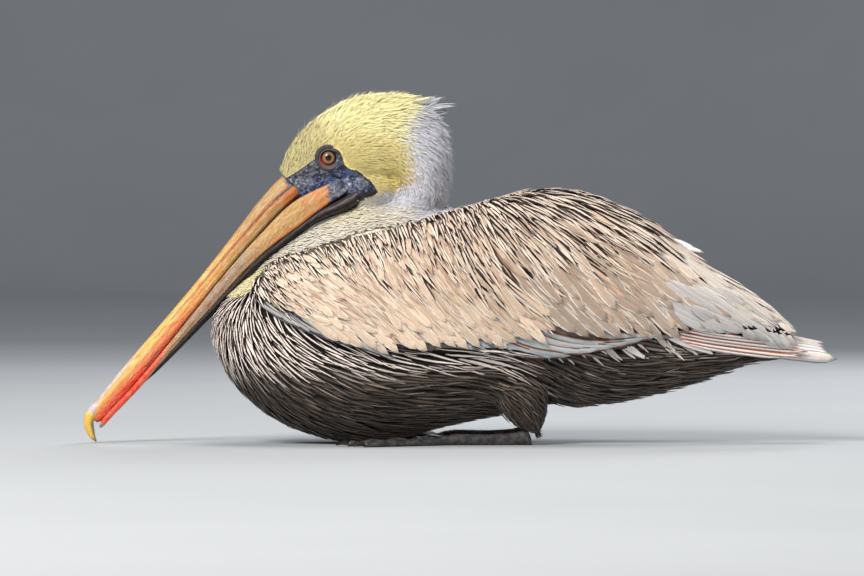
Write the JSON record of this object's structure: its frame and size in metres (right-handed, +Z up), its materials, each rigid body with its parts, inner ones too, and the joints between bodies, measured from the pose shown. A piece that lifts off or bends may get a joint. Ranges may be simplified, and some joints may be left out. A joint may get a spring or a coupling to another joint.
{
  "type": "brown pelican",
  "caption": "Life-size still brown pelican at rest, wings folded, neck drawn back and the long pouched bill pointing down in front of its breast.",
  "frame": {"origin": "on the floor, below the middle of the bird's length and width", "axes": "the bird faces -X, its tail points to +X, its left side is at -Y, +Z is up"},
  "size_m": [0.7217, 0.2158, 0.3341],
  "materials": {
    "head_plumage": "short velvety yellow feathers",
    "neck_plumage": "short soft cream-white feathers",
    "body_plumage": "narrow dark brown feathers with pale shaft streaks",
    "wing_plumage": "overlapping silvery buff feathers with dark edges",
    "flight_feathers": "long stiff grey-brown feathers with pale shafts",
    "tail_feathers": "stiff silvery grey feathers",
    "bill_horn": "satin cream and orange horn",
    "nail_horn": "satin yellow horn",
    "pouch_skin": "finely folded charcoal skin",
    "leg_skin": "dark scaly skin",
    "claw_horn": "dark horn",
    "eye": "wet"
  },
  "bodies": {
    "root": {"head": "head_plumage", "crest": "neck_plumage", "neck_upper": "neck_plumage", "neck_lower": "neck_plumage", "bill_upper": "bill_horn", "bill_lower": "bill_horn", "bill_nail": "nail_horn", "pouch": "pouch_skin", "trunk": "body_plumage", "tail": "tail_feathers", "wing_left": "wing_plumage", "wing_right": "wing_plumage", "primaries_left": "flight_feathers", "primaries_right": "flight_feathers", "eye_left": "eye", "eye_right": "eye", "thigh_left": "body_plumage", "thigh_right": "body_plumage", "tarsus_left": "leg_skin", "tarsus_right": "leg_skin", "foot_left": "leg_skin", "foot_right": "leg_skin", "claw_left_hind": "claw_horn", "claw_left_inner": "claw_horn", "claw_left_middle": "claw_horn", "claw_left_outer": "claw_horn", "claw_right_hind": "claw_horn", "claw_right_inner": "claw_horn", "claw_right_middle": "claw_horn", "claw_right_outer": "claw_horn"}
  },
  "joints": []
}
